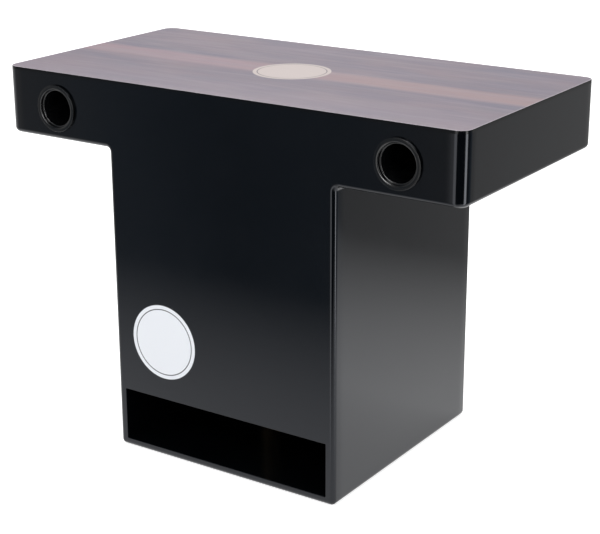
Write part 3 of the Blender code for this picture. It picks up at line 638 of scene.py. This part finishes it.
def plateVeneer():
    # a figured leaf with long grain lines along X, a warm stripe down its middle and a black
    # edge. The stripe is where |y - middle + wander + feather| is less than its half width
    look = veneerLook
    material, tree, shader = newMaterial("plateVeneer", look["bluish"])
    x, y, z = axesOf(tree)
    grain = {
        name: noise(tree, objectSpace(tree, (stretch, 1, 1), (shift, 0, 0)), *texture)
        for name, (stretch, shift, *texture) in look["grain"].items()
    }
    grain["front"] = y
    streaks = grain["streaks"]
    ground = spread(tree, grain["patches"], *look["patchRange"], 0.0, 1.0)
    ground = blendColours(tree, ground, look["bluish"], look["pinkish"])
    toRight = arithmetic(tree, "MULTIPLY_ADD", grain["warmth"], look["warmthReach"], x)
    toRight = spread(tree, toRight, 0.0, look["warmthReach"], 0.0, 1.0)
    stripe = blendColours(tree, toRight, look["stripe"], look["stripeWarm"])
    wander = noise(tree, objectSpace(tree, (1, 0, 0)), *look["stripeWander"])
    offset = arithmetic(tree, "SUBTRACT", y, look["stripeMiddle"])
    for texture, depth in ((wander, look["wanderDepth"]), (streaks, look["featherDepth"])):
        texture = arithmetic(tree, "SUBTRACT", texture, 0.5)
        offset = arithmetic(tree, "MULTIPLY_ADD", texture, depth, offset)
    half, soft = look["stripeHalfWidth"], look["stripeSoftness"]
    offset = arithmetic(tree, "ABSOLUTE", offset)
    onStripe = spread(tree, offset, half - soft, half + soft, look["stripeStrength"], 0.0)
    colour = blendColours(tree, onStripe, ground, stripe)
    for texture, reach, cover, tint in look["layers"]:
        mask = spread(tree, grain[texture], *reach, *cover)
        colour = blendColours(tree, mask, colour, look[tint])
    dashes = spread(tree, grain["pores"], *look["dashRange"], 0.0, look["dashCover"])
    colour = blendColours(tree, dashes, colour, look["line"])
    disc, ink = printedDisc(
        tree, (0, 1), printLook["plateCentre"], printLook["cream"], look["line"]
    )
    through = spread(tree, streaks, *look["discGrain"], look["discGrainCover"], 0.0)
    ink = blendColours(tree, through, ink, look["stripe"])
    colour = blendColours(tree, disc, colour, ink)
    # painted highlight: a thin pale line at the start of the rim, standing in for the light it
    # catches
    onRimHighlight = spread(tree, z, topZ - look["rubDepth"], topZ, look["rimHighlightCover"], 0.0)
    colour = blendColours(tree, onRimHighlight, colour, look["rimHighlight"])
    onEdge = spread(tree, z, *(topZ - depth for depth in look["edgeDepth"]), 1.0, 0.0)
    colour = blendColours(tree, onEdge, colour, look["edge"])
    roughness = spread(tree, streaks, *look["roughnessRange"], *look["roughness"])
    roughness = blendValue(tree, onEdge, roughness, look["edgeRoughness"])
    gloss = blendValue(tree, onEdge, look["gloss"], look["edgeGloss"])
    tree.links.new(gloss, shader.inputs["Specular IOR Level"])
    height = arithmetic(tree, "MULTIPLY", dashes, look["dashDepth"])
    height = arithmetic(tree, "SUBTRACT", streaks, height)
    offEdge = arithmetic(tree, "SUBTRACT", 1.0, onEdge)
    height = arithmetic(tree, "MULTIPLY", height, offEdge)
    finishWith(tree, shader, colour, roughness, height, look["grainDepth"])
    return material


plasticLook = {
    "portPlastic": {
        "colour": (0.0018, 0.0020, 0.0024), "roughness": (0.12, 0.18),
        "texture": (900.0, 3.0, 0.6), "depth": 0.000006,
    },
    "gripPlastic": {
        "colour": (0.020, 0.020, 0.022), "roughness": (0.42, 0.55),
        "texture": (2600.0, 3.0, 0.6), "depth": 0.00002,
    },
    "bearingNylon": {
        "colour": (0.72, 0.70, 0.64), "roughness": (0.45, 0.6),
        "texture": (700.0, 3.0, 0.6), "depth": 0.00001,
    },
}

# flow lines that all plastics have, and how much paler they are: a factor and a step
flowLook = {
    "texture": (60.0, 3.0, 0.5, 0.6), "colourRange": (0.35, 0.7), "roughnessRange": (0.3, 0.7),
    "paler": (1.35, 0.002),
}


def plastic(name):
    # moulded plastic with faint flow lines and a fine texture
    look, (factor, step) = plasticLook[name], flowLook["paler"]
    material, tree, shader = newMaterial(name, look["colour"])
    space = objectSpace(tree)
    fine = noise(tree, space, *look["texture"])
    flow = noise(tree, space, *flowLook["texture"])
    paler = tuple(min(1.0, channel * factor + step) for channel in look["colour"])
    onLine = spread(tree, flow, *flowLook["colourRange"], 0.0, 1.0)
    colour = blendColours(tree, onLine, look["colour"], paler)
    roughness = spread(tree, flow, *flowLook["roughnessRange"], *look["roughness"])
    finishWith(tree, shader, colour, roughness, fine, look["depth"])
    return material


steelLook = {
    "base": (0.56, 0.56, 0.57),
    "clean": (0.58, 0.58, 0.59),
    "stained": (0.47, 0.465, 0.455),
    "roughness": (0.22, 0.38),
    "brushStretch": (0.08, 1, 1),
    "brush": (900.0, 3.0, 0.6),
    "brushRange": (0.3, 0.7),
    "brushDepth": 0.000012,
    "stain": (45.0, 4.0, 0.6),
    "stainRange": (0.4, 0.75),
}


def steelFinish():
    # plated steel, brushed along X and a little stained
    look = steelLook
    material, tree, shader = newMaterial("platedSteel", look["base"], metallic=1.0)
    brushed = noise(tree, objectSpace(tree, look["brushStretch"]), *look["brush"])
    stain = noise(tree, objectSpace(tree), *look["stain"])
    stain = spread(tree, stain, *look["stainRange"], 0.0, 1.0)
    colour = blendColours(tree, stain, look["clean"], look["stained"])
    roughness = spread(tree, brushed, *look["brushRange"], *look["roughness"])
    finishWith(tree, shader, colour, roughness, brushed, look["brushDepth"])
    return material


# grain is the axis that it runs along
pineLook = {"pale": (0.60, 0.43, 0.25), "dark": (0.42, 0.25, 0.12), "ringScale": 260.0, "grain": 0}
woodLook = {
    "pineStrips": pineLook,
    "pineUpright": {**pineLook, "grain": 2},
    "beechBlock": {
        "pale": (0.55, 0.35, 0.21), "dark": (0.38, 0.21, 0.11), "ringScale": 420.0, "grain": 0,
    },
}

# what raw woods share
rawLook = {
    "stretch": 0.05,
    "rings": (2.0, 0.5, 0.8),        # the texture after its scale
    "ringRange": (0.42, 0.62),
    "fibresToRing": 9,               # how much finer the fibres are
    "fibres": (4.0, 0.65),
    "fibreRange": (0.45, 0.8),
    "fibreCover": 0.4,
    "roughness": (0.55, 0.75),
    "roughnessRange": (0.3, 0.7),
    "depth": 0.00006,
}


def rawWood(name):
    # long grain along one axis, with darker late wood lines and small fibres
    look, raw = woodLook[name], rawLook
    stretch = [1.0, 1.0, 1.0]
    stretch[look["grain"]] = raw["stretch"]
    material, tree, shader = newMaterial(name, look["pale"])
    space, scale = objectSpace(tree, stretch), look["ringScale"]
    rings = noise(tree, space, scale, *raw["rings"])
    fibres = noise(tree, space, scale * raw["fibresToRing"], *raw["fibres"])
    onRing = spread(tree, rings, *raw["ringRange"], 0.0, 1.0)
    onFibre = spread(tree, fibres, *raw["fibreRange"], 0.0, raw["fibreCover"])
    colour = blendColours(tree, onRing, look["pale"], look["dark"])
    colour = blendColours(tree, onFibre, colour, look["dark"])
    roughness = spread(tree, fibres, *raw["roughnessRange"], *raw["roughness"])
    finishWith(tree, shader, colour, roughness, fibres, raw["depth"])
    return material


blackLacquer = lacquer("blackLacquer")
printedLacquer = lacquer("printedLacquer", withPrint=True)
veneer = plateVeneer()
portPlastic, gripPlastic, nylon = (plastic(name) for name in plasticLook)
steel = steelFinish()
pine, pineUpright, beech = (rawWood(name) for name in woodLook)
print("materials made:", len(bpy.data.materials))


# Openings in the boards

portLow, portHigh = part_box("right_port_tube")
portX, portZ = (portLow.x + portHigh.x) / 2, (portLow.z + portHigh.z) / 2
portHole = {"radius": 0.0186, "sides": 97}
portHoles = [
    arc((side * portX, portZ), portHole["radius"], 0, 4 * quarterTurn, portHole["sides"])
    for side in (1, -1)
]

slotLook = {"height": 0.053, "cornerRadius": 0.0008}
soundSlot = roundedLoop(
    (0, baseTopZ + slotLook["height"] / 2), 2 * innerHalfPedestal, slotLook["height"],
    slotLook["cornerRadius"],
)

# the lever's slot is shorter than its trim plate by plateExcess
leverSlot = {"width": 0.014, "cornerRadius": 0.002, "plateExcess": 0.015}
trimLow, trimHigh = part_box("lever_slot_plate")
leverHole = roundedLoop(
    (0, (trimLow.z + trimHigh.z) / 2), leverSlot["width"],
    trimHigh.z - trimLow.z - leverSlot["plateExcess"], leverSlot["cornerRadius"],
)

tBoard("frontBoard", -1, [soundSlot, *portHoles], printedLacquer, ["front_panel"])
tBoard("backBoard", 1, [leverHole], blackLacquer, ["back_panel"])
for side, word in ((1, "right"), (-1, "left")):
    sideBoard(word, side, blackLacquer)
    wingEnd(word, side, blackLacquer)
    floorCorners = [
        (ledgeX, wingZ), (innerHalfWidth, wingZ), (innerHalfWidth, wingFloorZ),
        (innerHalfPedestal, wingFloorZ), (innerHalfPedestal, rebateZ), (ledgeX, rebateZ),
    ]
    flatBoard(f"{word}WingFloor", floorCorners, side, blackLacquer, [f"{word}_wing_floor"])
baseCorners = [
    (-innerHalfPedestal, 0), (innerHalfPedestal, 0),
    (innerHalfPedestal, baseTopZ), (-innerHalfPedestal, baseTopZ),
]
flatBoard("baseBoard", baseCorners, 1, blackLacquer, ["base_panel"])
print("cabinet boards made")


# The playing surface

plateLook = {"rimRadius": 0.0008, "cornerSteps": 14}


def playingSurface():
    # a rounded rectangle with a quarter round at its top edge and a sharp one below
    outline, outward = roundedLoop(
        (0, 0), 2 * halfWidth, 2 * abs(frontY), cabinet["wingCornerRadius"],
        plateLook["cornerSteps"],
    )
    points, normals = rim(outline, outward, plateLook["rimRadius"], topZ, 1, (0, 1, 2))
    under = points[-1, :-1].copy()
    under[:, 2] = plateZ
    patches = [
        gridPatch(points, normals), wallTo(points, normals, 2, plateZ),
        flatPatch([points[0, :-1]], (0, 0, 1)), flatPatch([under], (0, 0, -1)),
    ]
    makePiece("tappingPlate", patches, veneer, replaces=["playing_surface"])


playingSurface()


# Turned pieces: a profile of (radius, height) runs turned about an axis

def turned(runs, centre, axis, sides=96, facing=1):
    # every run is smooth; its normals are its slope turned a quarter turn
    angle = np.linspace(0, 4 * quarterTurn, sides + 1)
    ring = np.cos(angle), np.sin(angle)
    across = [other for other in range(3) if other != axis]
    patches = []
    for run in runs:
        run = np.array(run, float)
        slope = np.gradient(run, axis=0)
        slope /= np.linalg.norm(slope, axis=1, keepdims=True)
        points = np.empty((len(run), sides + 1, 3))
        normals = np.empty_like(points)
        for other, turn in zip(across, ring):
            points[:, :, other] = centre[other] + run[:, :1] * turn
            normals[:, :, other] = slope[:, 1:] * turn
        points[:, :, axis] = centre[axis] + facing * run[:, 1:]
        normals[:, :, axis] = -facing * slope[:, :1]
        patches.append(gridPatch(points, normals))
    return patches


portLook = {
    "outerRadius": 0.0224, "rimHeight": 0.00275, "rimRadius": 0.0003,   # the flange's edge
    "rimTurn": math.radians(80),
    "undercut": 0.0004,   # how far the flange's wall leans in towards the board
    "crestRadius": 0.0204, "lipHeight": 0.0028,   # the lip's highest line
    "throatRadius": 0.0186, "mouthDepth": 0.0007,   # where the rounded mouth ends
    "beadRadius": 0.0010, "ledgeHeight": 0.0004,   # a ledge with a bead where the tube starts
    "boreRadius": 0.0168, "tubeRadius": 0.0183, "length": 0.045,
    "rimSteps": 8, "swellSteps": 20, "mouthSteps": 22, "beadSteps": 12,
}


def portRuns():
    # (radius, height over the board's face) along the flange, the mouth, the bead and the tube
    look = portLook
    rimR, throatR, bead = look["rimRadius"], look["throatRadius"], look["beadRadius"]
    boreR, tubeR, ledgeZ = look["boreRadius"], look["tubeRadius"], look["ledgeHeight"]
    foot = look["outerRadius"] - look["undercut"]
    rimMiddle = look["outerRadius"] - rimR, look["rimHeight"] - rimR
    corner, _ = arc(rimMiddle, rimR, 0, look["rimTurn"], look["rimSteps"])
    # the flange swells as height = lip - rise * s^2, where s runs from 1 at the corner to 0
    # at the crest
    swell = np.linspace(1, 0, look["swellSteps"])[:, None]
    crest = np.array([look["crestRadius"], look["lipHeight"]])
    flange = crest + (corner[-1] - crest) * np.hstack([swell, swell ** 2])
    # the mouth is a quarter ellipse: radius = crest - width sin t, height = lip - depth (1 - cos t)
    turn = np.linspace(0, quarterTurn, look["mouthSteps"])
    fall = (crest[0] - throatR) * np.sin(turn), look["mouthDepth"] * (1 - np.cos(turn))
    mouth = crest - np.column_stack(fall)
    overBead, _ = arc(
        (boreR + bead, ledgeZ - bead), bead, quarterTurn, 2 * quarterTurn, look["beadSteps"]
    )
    ends = [
        mouth[-1], (throatR, ledgeZ), (boreR + bead, ledgeZ), overBead[-1],
        (boreR, -look["length"]), (tubeR, -look["length"]), (tubeR, 0), (foot, 0), corner[0],
    ]
    throat, ledge, _, bore, end, outside, back, side = zip(ends, ends[1:])
    top = np.vstack([corner, flange[1:], mouth[1:]])
    return [side, top, throat, ledge, overBead, bore, end, outside, back]


for side, word in ((1, "right"), (-1, "left")):
    makePiece(
        f"{word}PortTube", turned(portRuns(), (side * portX, frontY, portZ), 1, facing=-1),
        portPlastic, replaces=[f"{word}_port_tube"],
    )
print("plate and ports made")


# Finishes of the pieces inside, which keep their solids. The last word that fits a node's
# name says what it is

nodeFinish = {
    "batten": pineUpright, "ledger": pine, "carrier": beech, "clamp": steel, "wires": steel,
    "rod": steel, "bearing": nylon, "collar": steel, "lever": steel, "grip": gripPlastic,
    "slot_plate": gripPlastic, "screw": steel,
}
for name, node in nodes.items():
    if node.hide_render:
        continue
    finish = [nodeFinish[word] for word in nodeFinish if word in name][-1]
    for materialSlot in node.material_slots:
        materialSlot.material = finish


# Stage: pale floor, soft studio light and the camera

stageLook = {
    "floorSize": 9.0,
    "floorColours": ((0.85, 0.85, 0.85), (0.87, 0.87, 0.87)),
    "floorGrain": (40.0, 4.0),
    "floorGrainRange": (0.3, 0.7),
    "floorRoughness": 0.9,
    "floorGlow": 0.72,             # lifts the lit floor to white for the camera
    "tableGlow": 0.84,             # and for what mirrors it
    "glowToRight": 0.28,           # how much more each metre to the right
    "leastGlow": 0.3,
    "tableReach": (0.12, 0.59),    # where the mirrored table fades out in front and behind
    "tableWidth": (0.42, 0.80),    # and where it does to both sides
    "worldLevel": 0.62,
    "overhead": 0.08,              # what reflections see high up
    "overheadFrom": (0.45, 0.75),  # and how high that is, as the sine of the height
    "darkTint": (0.90, 1.10, 1.34),
    "darkBelow": 0.3,              # the levels that get the tint
    # what reflections see round the room: azimuth from +X in degrees, brightness
    "room": (
        (-180, 1.0), (-160, 0.7), (-145, 0.52), (-135, 0.40), (-131, 0.25), (-127, 0.14),
        (-122, 0.20), (-118, 0.30), (-113, 0.52), (-109, 1.15), (-104, 2.2), (-87, 2.2),
        (-84, 0.03), (-18, 0.03), (-14, 5.6), (0, 5.6), (4, 0.07), (22, 0.12), (42, 0.25),
        (57, 0.38), (60, 0.38), (64, 0.44), (75, 0.46), (95, 0.72), (112, 0.86), (125, 1.0),
        (129, 0.93), (135, 0.70), (150, 0.72), (180, 1.0),
    ),
}


def seenDirectly(tree, rays):
    # 1 for rays from the camera, also after they passed through something clear
    return arithmetic(tree, "MAXIMUM", rays["Is Camera Ray"], rays["Is Transmission Ray"])


def floorMaterial():
    # white to the camera, less the object's shadow; reflections see the room beyond the table
    look = stageLook
    material, tree, shader = newMaterial("paleFloor", look["floorColours"][0])
    grain = noise(tree, objectSpace(tree), *look["floorGrain"])
    grain = spread(tree, grain, *look["floorGrainRange"], 0.0, 1.0)
    tone = blendColours(tree, grain, *look["floorColours"])
    tree.links.new(tone, shader.inputs["Base Color"])
    shader.inputs["Roughness"].default_value = look["floorRoughness"]
    shader.inputs["Specular IOR Level"].default_value = 0.0
    shader.inputs["Emission Color"].default_value = (1, 1, 1, 1)
    rays = addNode(tree, "ShaderNodeLightPath", {}).outputs
    glossy, places = rays["Is Glossy Ray"], axesOf(tree)
    seen = arithmetic(tree, "MULTIPLY", seenDirectly(tree, rays), look["floorGlow"])
    glow = arithmetic(tree, "MULTIPLY_ADD", places[0], look["glowToRight"], look["tableGlow"])
    glow = arithmetic(tree, "MAXIMUM", glow, look["leastGlow"])
    strength = arithmetic(tree, "MULTIPLY_ADD", glossy, glow, seen)
    tree.links.new(strength, shader.inputs["Emission Strength"])
    beyond = arithmetic(tree, "MAXIMUM", *(
        spread(tree, arithmetic(tree, "ABSOLUTE", places[axis]), *look[reach], 0.0, 1.0)
        for axis, reach in ((0, "tableWidth"), (1, "tableReach"))
    ))
    clear = addNode(tree, "ShaderNodeBsdfTransparent", {})
    mix = addNode(tree, "ShaderNodeMixShader", {
        0: arithmetic(tree, "MULTIPLY", beyond, glossy), 1: shader.outputs[0], 2: clear.outputs[0],
    })
    tree.links.new(mix.outputs[0], tree.nodes["Material Output"].inputs["Surface"])
    return material


def makeFloor():
    # one large square
    half = stageLook["floorSize"] / 2
    corners = [(-half, -half, 0), (half, -half, 0), (half, half, 0), (-half, half, 0)]
    mesh = bpy.data.meshes.new("floor")
    mesh.from_pydata(corners, [], [(0, 1, 2, 3)])
    mesh.materials.append(floorMaterial())
    floor = bpy.data.objects.new("floor", mesh)
    bpy.context.scene.collection.objects.link(floor)


def makeWorld():
    # an even soft light; the camera sees white, and reflections see the room's panels and dark
    # side, which run by azimuth = atan2(y, x)
    look, room = stageLook, stageLook["room"]
    world = bpy.data.worlds.new("studio")
    bpy.context.scene.world = world
    world.use_nodes = True
    tree = world.node_tree
    background = tree.nodes["Background"]
    x, y, z = axesOf(tree, "Generated")
    azimuth = arithmetic(tree, "ARCTAN2", y, x)
    ramp = addNode(tree, "ShaderNodeValToRGB", {
        0: spread(tree, azimuth, -math.pi, math.pi, 0.0, 1.0)
    })
    stops = ramp.color_ramp.elements
    brightest = max(level for _, level in room)
    for index, (degrees, level) in enumerate(room):
        atEnd = index in (0, len(room) - 1)
        stop = stops[index] if atEnd else stops.new((degrees + 180) / 360)
        tint = look["darkTint"] if level < look["darkBelow"] else (1, 1, 1)
        stop.color = (*(level / brightest * channel for channel in tint), 1)
    rays = addNode(tree, "ShaderNodeLightPath", {}).outputs
    glossy = rays["Is Glossy Ray"]
    shade = blendColours(tree, glossy, (1, 1, 1), ramp.outputs[0])
    # high up the room is evenly dark
    overhead = spread(tree, z, *look["overheadFrom"], 0.0, 1.0)
    level = blendValue(tree, overhead, brightest, look["overhead"])
    level = blendValue(tree, glossy, look["worldLevel"], level)
    level = blendValue(tree, seenDirectly(tree, rays), level, 1.0)
    tree.links.new(shade, background.inputs["Color"])
    tree.links.new(level, background.inputs["Strength"])


lampTarget = Vector((0, 0, 0.2))
lamps = {
    "topSoftbox": {"place": (-0.3, 0.2, 2.2), "size": (2.4, 1.6), "power": 26.0},
    "rightSoftbox": {"place": (2.2, -0.9, 1.2), "size": (1.2, 1.6), "power": 12.0},
    "frontSoftbox": {"place": (0.05, -1.45, 1.35), "size": (0.5, 0.5), "power": 6.0},
    "lowSoftbox": {
        "place": (-0.08, -2.2, 0.72), "size": (0.6, 0.5), "power": 12.0, "onlyMirrored": True,
    },
}


def makeLamps():
    # softboxes that all face one place on the drum
    for name, look in lamps.items():
        light = bpy.data.lights.new(name, "AREA")
        light.shape = "RECTANGLE"
        light.size, light.size_y = look["size"]
        light.energy = look["power"]
        lamp = bpy.data.objects.new(name, light)
        lamp.location = look["place"]
        lamp.rotation_euler = (lampTarget - lamp.location).to_track_quat("-Z", "Y").to_euler()
        lamp.visible_diffuse = not look.get("onlyMirrored", False)
        bpy.context.scene.collection.objects.link(lamp)


cameraLook = {
    "place": (0.8115, -1.1966, 0.6602),
    "target": (0.0110, -0.0088, 0.1775),
    "roll": -0.0035,
    "focalLength": 93.01,
    "sensorWidth": 36.0,
}


def makeCamera():
    # stands where the photo's camera stood, as fitted to the drum's corners
    look = cameraLook
    data = bpy.data.cameras.new("camera")
    data.sensor_width = look["sensorWidth"]
    data.lens = look["focalLength"]
    camera = bpy.data.objects.new("camera", data)
    camera.location = look["place"]
    aim = (Vector(look["target"]) - camera.location).to_track_quat("-Z", "Y").to_matrix()
    camera.rotation_euler = (aim @ Euler((0, 0, look["roll"])).to_matrix()).to_euler()
    bpy.context.scene.collection.objects.link(camera)
    bpy.context.scene.camera = camera


makeFloor()
makeWorld()
makeLamps()
makeCamera()
bpy.context.scene.view_settings.view_transform = "Standard"
print("stage set")
